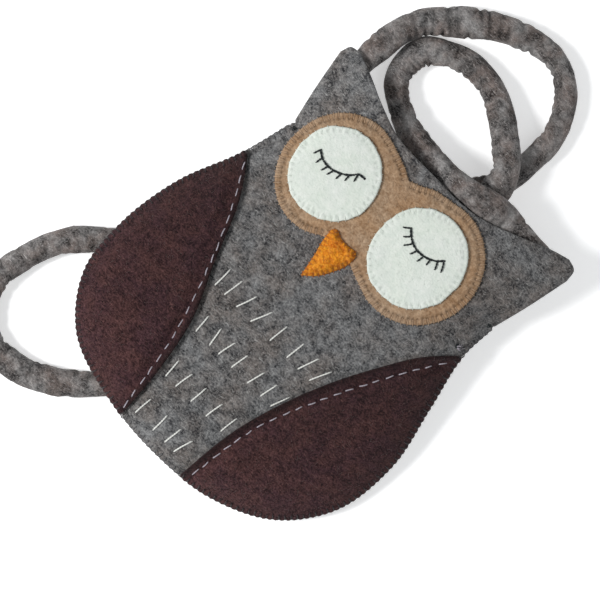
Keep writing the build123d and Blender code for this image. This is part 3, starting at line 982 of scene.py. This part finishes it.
# Painted shade on the beak: darker in its tufted dimples and along its edge stitch grooves.
beak_piece = felt(
    "beak_pad", beak, orange_felt, 0.8, (0.25, 0.6, 1.1, 1.7),
    lambda p: 0.6 * np.maximum(dimples(p, BEAK_TUFTS, 0.8), grooves(p, beak_stitches, 0.6)),
)
fasten(beak_piece, ride_bag, "orange_felt", "beak")

# === strap
STRAP_HALF_WIDTH = 7.4
STRAP_HALF_HEIGHT = 6.0
STRAP_FULLER = {              # more or less half width at some of the route's points
    2: -0.5, 3: 1.0, 4: 0.0, 5: 0.0, 6: 0.7, 7: 1.0, 8: 0.5, 9: -0.7, 10: -1.0, 11: -0.8,
    12: -0.2, 13: -0.5, 14: 0.0, 21: 0.0, 22: 0.3, 23: -0.8, 24: -0.2, 25: -0.6, 27: 0.6, 28: 1.1,
    29: 1.0, 30: -0.4, 32: 0.0, 40: 0.0, 41: 0.3, 42: 1.1, 43: 0.6, 44: -0.4, 45: -0.2,
    46: -0.9, 47: 0.8, 48: 0.4, 49: 0.3, 50: 0.1, 51: 0.3, 52: -0.1, 54: -0.3, 55: -0.7, 56: 0.0,
}
STRAP_END_HALF = 3.0          # half the height where it is flattened between the felts
STRAP_SIDES = 36
SECTION_POWER = 2.1           # a little squarer than an ellipse
SMOOTH_END = 30.0             # no wrinkles this close to an end
DEEPEST_WRINKLE = 2.2


def turned_by(angle, other):
    """The difference of two angles, between -pi and pi."""
    return (angle - other + math.pi) % (2 * math.pi) - math.pi


def strap_wrinkles(run, turn, bend):
    """Depth of the cross wrinkles at each ring and angle, deepest inside the bends."""
    depth = np.zeros((len(run), len(turn)))
    place = SMOOTH_END
    while place < run[-1] - SMOOTH_END:
        near_ear = hump(place - 95.0, 34.0)
        tight = min(1.0, abs(np.interp(place, run, bend)) * 30)
        place += random.uniform(3.8, 10.5 - 3.5 * max(near_ear, tight))
        curve = np.interp(place, run, bend)
        middle = random.gauss(math.pi / 2, 0.7)
        if random.random() < tight:
            middle = random.uniform(0.0, 0.9) if curve > 0 else math.pi - random.uniform(0.0, 0.9)
        deep = random.uniform(0.3, 0.9) + 1.1 * tight * random.random() + 1.0 * near_ear
        reach, slant = random.uniform(0.7, 1.6), random.uniform(-1.8, 1.8)
        width = random.uniform(1.0, 1.8)
        away = turned_by(turn, middle)[None]
        along = run[:, None] - place - slant * away
        depth += deep * hump(along, width) * hump(away, reach)
    return np.minimum(depth, DEEPEST_WRINKLE)


def make_strap():
    """The rolled felt strap as one tube, wrinkled inside its bends and flattened at its ends."""
    line = resample(route_line(STRAP_ROUTE), 1.0)
    run = np.linspace(0, reached_along(line)[-1], len(line))
    heading = unit(np.gradient(line, axis=0))
    side = unit(np.cross((0.0, 0.0, 1.0), heading))
    up = np.cross(heading, side)
    bend = (np.gradient(heading, axis=0) * side).sum(1) / np.gradient(run)
    bend = np.convolve(np.pad(bend, 6, mode="edge"), np.ones(13) / 13, mode="valid")
    flat = 1 - ease((np.minimum(run, run[-1] - run) - 26) / 26)

    def near(place, size):
        return hump(np.linalg.norm(line - place, axis=1), size)

    under_band = near((33.2, 111.0, 15.0), 13.0)
    half_width = STRAP_HALF_WIDTH + 2.4 * under_band + 0.3 * flat
    half_width += 1.1 * near((-51.0, 161.0, 6.0), 22.0) - 0.8 * near((-44.0, 120.0, 7.0), 16.0)
    places = [run[((line - STRAP_ROUTE[i]) ** 2).sum(1).argmin()] for i in STRAP_FULLER]
    half_width += np.interp(run, places, list(STRAP_FULLER.values()))
    half_width += 0.5 * np.array([noise.noise((s / 31, 0.0, 1.0)) for s in run])
    half_height = STRAP_HALF_HEIGHT + (STRAP_END_HALF - STRAP_HALF_HEIGHT) * flat - 0.4 * under_band
    turn = np.arange(STRAP_SIDES) * 2 * math.pi / STRAP_SIDES
    across = np.sign(np.cos(turn)) * np.abs(np.cos(turn)) ** (2 / SECTION_POWER)
    above = np.sign(np.sin(turn)) * np.abs(np.sin(turn)) ** (2 / SECTION_POWER)
    wrinkles = strap_wrinkles(run, turn, bend)
    rings = []
    for i, s in enumerate(run):
        soft = np.array([noise.noise((s / 12, 1.6 * math.cos(t), 1.6 * math.sin(t))) for t in turn])
        size = 1 - (wrinkles[i] - 0.9 * soft) / STRAP_HALF_WIDTH
        ring = line[i] + np.outer(half_width[i] * across * size, side[i])
        ring += np.outer(half_height[i] * above * size, up[i])
        ring[:, 2] = np.maximum(ring[:, 2], 0.05)
        rings.append(ring)
    rings = np.array(rings)
    for i, share in ((0, 0.55), (1, 0.88), (-1, 0.55), (-2, 0.88)):
        rings[i] = line[i] + (rings[i] - line[i]) * share
    faces = tube_faces(len(line), STRAP_SIDES)
    # Painted shade: the strap's felt is darkened in its wrinkles.
    painted_crease_shade = np.minimum(0.45 * wrinkles, 0.8).ravel()
    made = make_object("strap_roll", rings.reshape(-1, 3), faces, strap_felt, painted_crease_shade)
    return made, line, rings


strap_piece, strap_line, strap_rings = make_strap()
fasten(strap_piece, ride_bag, "strap_felt", "strap", "strap_end_left", "strap_end_right")

# === sewing threads
# The threads' radii.
BELLY_THREAD = 0.5
WING_THREAD = 0.38
TRIM_THREAD = 0.26
EYE_THREAD = 0.19
LID_THREAD = 0.72
LASH_THREAD = 0.55
EDGE_THREAD = 0.4
KNOT_THREAD = 0.42
TUFT_THREAD = 0.14
FIBRE_RADIUS = 0.06


def on(surface, p, rise=0.0):
    """3-D points on a surface's top at the given places, raised by that much."""
    p = np.atleast_2d(p)
    return np.column_stack([p, surface(p) + rise])


def surface_stitch(surface, start, end, radius):
    """One stitch lying on the felt, its ends going down into it."""
    share = np.array([0.0, 0.07, 0.2, 0.4, 0.6, 0.8, 0.93, 1.0])
    rise = np.array([-1.1, 0.1, 0.75, 0.95, 0.95, 0.75, 0.1, -1.1]) * radius
    bow = random.uniform(-0.25, 0.25) * np.sin(share * math.pi)
    run = end - start
    square = unit(np.array([-run[1], run[0]]))
    places = start + run * share[:, None] + square * bow[:, None]
    return thread(on(surface, places, rise), radius)


def whip_stitch(over, under, edge, hole, radius):
    """A stitch from a hole in one felt over its edge and down into the felt below."""
    out = edge - hole
    shares = np.array([0.0, 0.12, 0.4, 0.72, 0.95])
    top = on(over, hole + out * shares[:, None], np.array([-0.9, 0.35, 0.85, 0.7, -0.1]) * radius)
    beyond = edge + unit(out) * np.array([[0.35], [0.75]])
    low = on(under, beyond, np.array([1.4, -0.9]) * radius)
    return thread(np.vstack([top, low]), radius, 0.4)


def sew(name, parts, material, *fastening):
    """One piece from many thread meshes, fastened."""
    vertices, faces, count = [], [], 0
    for part_vertices, part_faces in parts:
        vertices.append(part_vertices)
        faces += [tuple(i + count for i in face) for face in part_faces]
        count += len(part_vertices)
    return fasten(make_object(name, np.vstack(vertices), faces, material), *fastening)


def sew_rows(name, surface, stitches, radius, material, *fastening):
    """A thread piece of separate stitches lying on a felt."""
    parts = []
    for start, end in stitches:
        parts += surface_stitch(surface, start, end, radius)
    sew(name, parts, material, *fastening)


def sew_down(name, over, under, stitches, radius, material, *fastening):
    """A thread piece of whip stitches round a felt's edge."""
    parts = []
    for edge, hole in stitches:
        parts += whip_stitch(over, under, edge, hole, radius)
    sew(name, parts, material, *fastening)


sew_rows(
    "belly_thread", front.top, belly, BELLY_THREAD, white_thread,
    ride_bag, "white_thread", "belly_stitches",
)
for side in SIDES:
    sew_rows(
        f"wing_thread_{side}", wings[side].top, running[side], WING_THREAD, lilac_thread,
        ride_bag, "lilac_thread", f"wing_stitching_{side}",
    )
sew_down(
    "mask_thread", mask.top, front.top, mask_stitches, TRIM_THREAD, tan_thread,
    bends, "tan_thread", "eye_mask_stitching",
)
for side in SIDES:
    sew_down(
        f"eye_thread_{side}", eyes[side].top, mask.top, eye_stitches[side], EYE_THREAD, eye_thread,
        bends, "white_thread", f"eye_stitching_{side}",
    )
sew_down(
    "beak_thread", beak.top, under_beak, beak_stitches, TRIM_THREAD, orange_thread,
    ride_bag, "orange_thread", "beak_stitching",
)

# Each eyelid is a line of back stitches, and each lash one stitch from it: how far along the lid
# it starts, and the place of its tip.
LIDS = {
    "left": [
        (-53.5, 66.0), (-49.0, 63.0), (-44.0, 62.0), (-36.0, 64.0), (-31.0, 67.5), (-28.0, 71.0),
        (-23.4, 71.7),
    ],
    "right": [(13.5, 71.0), (18.0, 67.0), (23.5, 64.5), (31.0, 64.8), (37.5, 68.0), (40.5, 71.5)],
}
LASHES = {
    "left": [
        (0.02, (-54.5, 61.5)), (0.16, (-49.8, 58.7)), (0.32, (-44.8, 57.7)), (0.44, (-40.8, 58.3)),
        (0.58, (-35.5, 60.2)), (0.72, (-31.2, 63.0)), (0.86, (-27.2, 66.2)),
    ],
    "right": [
        (0.02, (10.3, 67.8)), (0.17, (14.2, 64.2)), (0.3, (17.8, 61.0)), (0.44, (23.8, 60.0)),
        (0.6, (29.5, 59.8)), (0.73, (34.5, 62.2)), (0.86, (40.0, 63.5)), (0.98, (43.5, 64.8)),
    ],
}
LID_STITCHES = 5
for side in SIDES:
    lid, surface = smooth_curve(LIDS[side], 0.25), eyes[side].top
    last = len(lid) - 1
    parts = []
    for i in range(LID_STITCHES):
        low, high = int(i * last / LID_STITCHES), int((i + 1) * last / LID_STITCHES)
        places = resample(lid[low : high + 1], 1.0)
        rise = 0.5 - 1.1 * np.abs(np.linspace(-1, 1, len(places))) ** 6
        parts += thread(on(surface, places, rise * 0.7), LID_THREAD, 0.35)
    for share, tip in LASHES[side]:
        parts += surface_stitch(surface, lid[int(share * last)], np.array(tip), LASH_THREAD)
    sew(f"lash_thread_{side}", parts, lash_thread, bends, "lash_thread", f"eyelashes_{side}")

# --- loose wool fibres


def fibre(root, heading, length, turn):
    """Five places along a gently curved fibre."""
    places = [np.array(root)]
    for step in range(4):
        angle = heading + turn * (step + 0.5) / 4
        places.append(places[-1] + np.array([math.cos(angle), math.sin(angle)]) * length / 4)
    return places


def fuzz(name, layer, count, material, *fastening, reach=3.2):
    """Loose fibres over a felt's top, a third of them standing out over its edge."""
    outline, into = layer.outline, inward(layer.outline)
    low, high = outline.min(0), outline.max(0)
    spots = [(random.uniform(low[0], high[0]), random.uniform(low[1], high[1])) for i in range(count)]
    spots = np.array(spots)
    spots = spots[depth_in(spots, outline) > 0.8]
    lines, rises = [], []
    for spot in spots:
        turn = random.uniform(-2.2, 2.2)
        heading = random.uniform(0, 2 * math.pi)
        lines.append(fibre(spot, heading, reach * random.uniform(0.5, 1.3), turn))
        rises.append(np.array([-0.15, 0.14, 0.26, 0.3, 0.2]) * random.uniform(0.4, 1.6))
    for i in range(count // 3):
        at = random.randrange(len(outline))
        heading = math.atan2(-into[at][1], -into[at][0]) + random.gauss(0, 0.8)
        length = reach * random.uniform(0.4, 0.8)
        lines.append(fibre(outline[at] + into[at] * 0.9, heading, length, random.uniform(-1.5, 1.5)))
        rises.append(np.array([-0.3, -0.1, -0.25, -0.45, -0.6]) * random.uniform(0.3, 1.5))
    lines = np.array(lines)
    heights = layer.top(lines.reshape(-1, 2)).reshape(-1, 5) + rises
    parts = [strand(line, FIBRE_RADIUS, 3) for line in np.dstack([lines, heights])]
    sew(name, parts, material, *fastening)


def strap_fuzz(count):
    """Loose fibres over the upper half of the strap, most of them running along it."""
    rings, sides = strap_rings.shape[:2]
    parts = []
    for i in range(count):
        ring = random.randrange(30, rings - 40)
        side = random.randrange(-1, sides // 2 + 1)
        stride, drift = random.choice((1, 1, 1, 2)), random.uniform(-0.8, 0.8)
        places = []
        for step, rise in enumerate((0.02, 0.12, 0.24, 0.30, 0.22)):
            at = ring + step * stride
            skin = strap_rings[at, (side + round(step * drift)) % sides]
            places.append(skin + unit(skin - strap_line[at]) * rise)
        parts.append(strand(np.array(places), FIBRE_RADIUS, 3))
    sew("strap_fuzz", parts, wool_hair, ride_bag, "strap_felt")


strap_fuzz(1300)
fuzz("front_fuzz", front, 1500, wool_hair, bends, "body_felt")
for side in SIDES:
    fuzz(f"wing_fuzz_{side}", wings[side], 700, wing_hair, ride_bag, "wing_felt")
fuzz("mask_fuzz", mask, 260, tan_hair, bends, "tan_felt", reach=2.2)
for side in SIDES:
    fuzz(f"eye_fuzz_{side}", eyes[side], 130, white_hair, bends, "white_felt", reach=1.8)
fuzz("beak_fuzz", beak, 90, orange_hair, ride_bag, "orange_felt", reach=1.8)

# --- blanket stitches of the side seams
seam_into = inward(seam, closed=False)
seam_run = np.linspace(0, seam_length, len(seam))


def seam_at(place):
    """The seam's point and inward direction that far along it."""
    return point_at(place, seam_run, seam), unit(point_at(place, seam_run, seam_into))


def wing_at(at):
    """The wing that covers this place of the seam, or None."""
    for layer in wings.values():
        if depth_in(np.array([at]), layer.outline)[0] > -0.8:
            return layer
    return None


def blanket_stitch(place):
    """A stitch from the front over the edge to the back, square to the edge."""
    at, into = seam_at(place)
    layer = wing_at(at + into * 2.5) or front
    depth = 3.2 + random.uniform(-0.5, 0.5)
    lean = np.array([-into[1], into[0]]) * random.uniform(-0.35, 0.35)
    inner = at + into * depth + lean
    shallow = at + into * 1.7
    top = layer.top(np.array([inner, shallow]))
    low = back.bottom(np.array([inner, shallow]))
    middle, half = (top[1] + low[1]) / 2, (top[1] - low[1]) / 2
    path = [(*inner, top[0] - 0.5), (*(inner - into * 0.5), top[0] + 0.1)]
    for degrees in (80, 50, 20, -10, -45, -80):
        turn = math.radians(degrees)
        spot = at + into * (1.95 - 1.85 * math.cos(turn) ** 0.7)
        path.append((*spot, middle + (half + 0.16) * math.sin(turn)))
    path += [(*(inner - into * 0.7), low[0] - 0.1), (*(inner - into * 0.2), low[0] + 0.5)]
    return thread(np.array(path), EDGE_THREAD, 0.5), layer


edge_parts = {"body": [], "wings": []}
stitch_count = int(seam_length / SEAM_PITCH)
run_now, run_kind = [], None
for i in range(1, stitch_count):
    place = i * SEAM_PITCH
    parts, layer = blanket_stitch(place)
    kind = "body" if layer is front else "wings"
    edge_parts[kind] += parts
    drawn_out = 0.5 * WING_OVERHANG if kind == "wings" else 0.0
    for share in (0.0, 0.33, 0.67):
        at, into = seam_at(place + share * SEAM_PITCH)
        spot = at + into * ((-0.1 if share else 0.5) - drawn_out)
        probe = np.array([at + into * 1.7])
        height = 0.55 * layer.top(probe)[0] + 0.45 * back.bottom(probe)[0]
        if kind != run_kind and share == 0.0:
            if len(run_now) > 3:
                edge_parts[run_kind] += thread(np.array(run_now), EDGE_THREAD, 0.5)
            run_now, run_kind = run_now[-1:], kind
        run_now.append((*spot, height))
edge_parts[run_kind] += thread(np.array(run_now), EDGE_THREAD, 0.5)
for kind, material, slot in (
    ("body", grey_thread, "grey_thread"),
    ("wings", brown_thread, "brown_thread"),
):
    sew(f"edge_thread_{kind}", edge_parts[kind], material, ride_bag, slot, f"edge_stitching_{kind}")


def knot(centre, size):
    """A small overhand knot."""
    turn = np.linspace(0, 2 * math.pi, 40)
    x = np.sin(turn) + 2 * np.sin(2 * turn)
    y = np.cos(turn) - 2 * np.cos(2 * turn)
    shape = np.column_stack([x, y, -np.sin(3 * turn) * 1.3])
    return thread(np.array(centre) + shape * size / 3, KNOT_THREAD, 0.35)


KNOTS = [(NECK_LEFT[0] + 3.0, 64.0), (NECK_RIGHT[0] - 3.0, 64.0), (80.0, 43.0)]
parts = []
for x, y in KNOTS:
    height = front.top(np.array([(x, y)]))[0]
    parts += knot((x, y, height + 0.6), 1.25)
sew("knot_thread", parts, lash_thread, ride_bag, "lash_thread", "seam_knots")

parts = []
for i in range(7):
    turn = random.uniform(-0.6, 1.2)
    root = np.array(KNOTS[2]) + (random.uniform(-0.8, 0.8), random.uniform(-0.8, 0.8))
    reach = random.uniform(2.2, 4.5)
    middle = root + np.array([math.cos(turn), math.sin(turn)]) * reach * 0.5
    tip = root + np.array([math.cos(turn + 0.3), math.sin(turn + 0.3)]) * reach
    ends = on(front.top, [root, middle, tip], np.array([0.9, 1.8 + 0.2 * i, 0.9]))
    parts.append(strand(smooth_curve(ends, 0.4), TUFT_THREAD, 5))
sew("thread_tuft", parts, lilac_thread, ride_bag, "lilac_thread")


def strap_end_top(p):
    """Height of the flattened strap ends' upper face, from the strap's nearest place."""
    ends = np.r_[0:34, len(strap_line) - 34 : len(strap_line)]
    gap = ((p[:, None, :] - strap_line[ends][None, :, :2]) ** 2).sum(2)
    return strap_line[ends[gap.argmin(1)], 2] + STRAP_END_HALF - 0.1


def end_stitches(middle, degrees):
    """Two crossed rows of stitches that hold a strap end to the back panel, as their ends."""
    made = []
    for turn in (math.radians(degrees - 45), math.radians(degrees + 45)):
        heading = np.array([math.cos(turn), math.sin(turn)])
        for step in (-4.2, 0.0, 4.2):
            made.append(np.array(middle) + heading * np.array([[step - 1.6], [step + 1.6]]))
    return made


for side, middle, degrees in (("left", (-72.0, 99.4), -90.0), ("right", (75.6, 111.8), -9.0)):
    sew_rows(
        f"strap_end_thread_{side}", strap_end_top, end_stitches(middle, degrees), EDGE_THREAD,
        grey_thread, ride_bag, "grey_thread", f"strap_stitching_{side}",
    )

# === stage and light


def make_floor():
    """A wide pale sheet, lit a little from below like a product table."""
    half = 4000.0
    corners = [(-half, -half, -0.4), (half, -half, -0.4), (half, half, -0.4), (-half, half, -0.4)]
    material, tree, shader, place = start_material("pale_floor", 0.9, 0.0)
    shade = ranged(tree, lumps(tree, place, 260.0, 2.0), 0.3, 0.7)
    pale = mixed(tree, shade, (0.90, 0.90, 0.90, 1.0), (0.92, 0.92, 0.92, 1.0))
    tree.links.new(pale, shader.inputs["Base Color"])
    shader.inputs["Emission Color"].default_value = (1.0, 1.0, 1.0, 1.0)
    shader.inputs["Emission Strength"].default_value = 0.45
    floor = make_object("floor", corners, [(0, 1, 2, 3)], material)


def make_light(name, place, size, power):
    """A square soft light aimed at the middle of the bag; place and size in metres."""
    data = bpy.data.lights.new(name, "AREA")
    data.energy = power
    data.size = size
    lamp = bpy.data.objects.new(name, data)
    lamp.location = place
    aim = Matrix.Translation((0, 0, 0.02)).translation - lamp.location
    lamp.rotation_euler = aim.to_track_quat("-Z", "Y").to_euler()
    bpy.context.scene.collection.objects.link(lamp)


make_floor()
make_light("key", place=(-1.05, -1.05, 1.5), size=0.55, power=40.0)
make_light("fill", place=(1.2, 0.6, 1.6), size=1.6, power=6.0)
world = bpy.data.worlds.new("studio")
bpy.context.scene.world = world
world.use_nodes = True
world.node_tree.nodes["Background"].inputs["Color"].default_value = (0.93, 0.97, 1.0, 1.0)
world.node_tree.nodes["Background"].inputs["Strength"].default_value = 0.31
bpy.context.scene.view_settings.view_transform = "Standard"
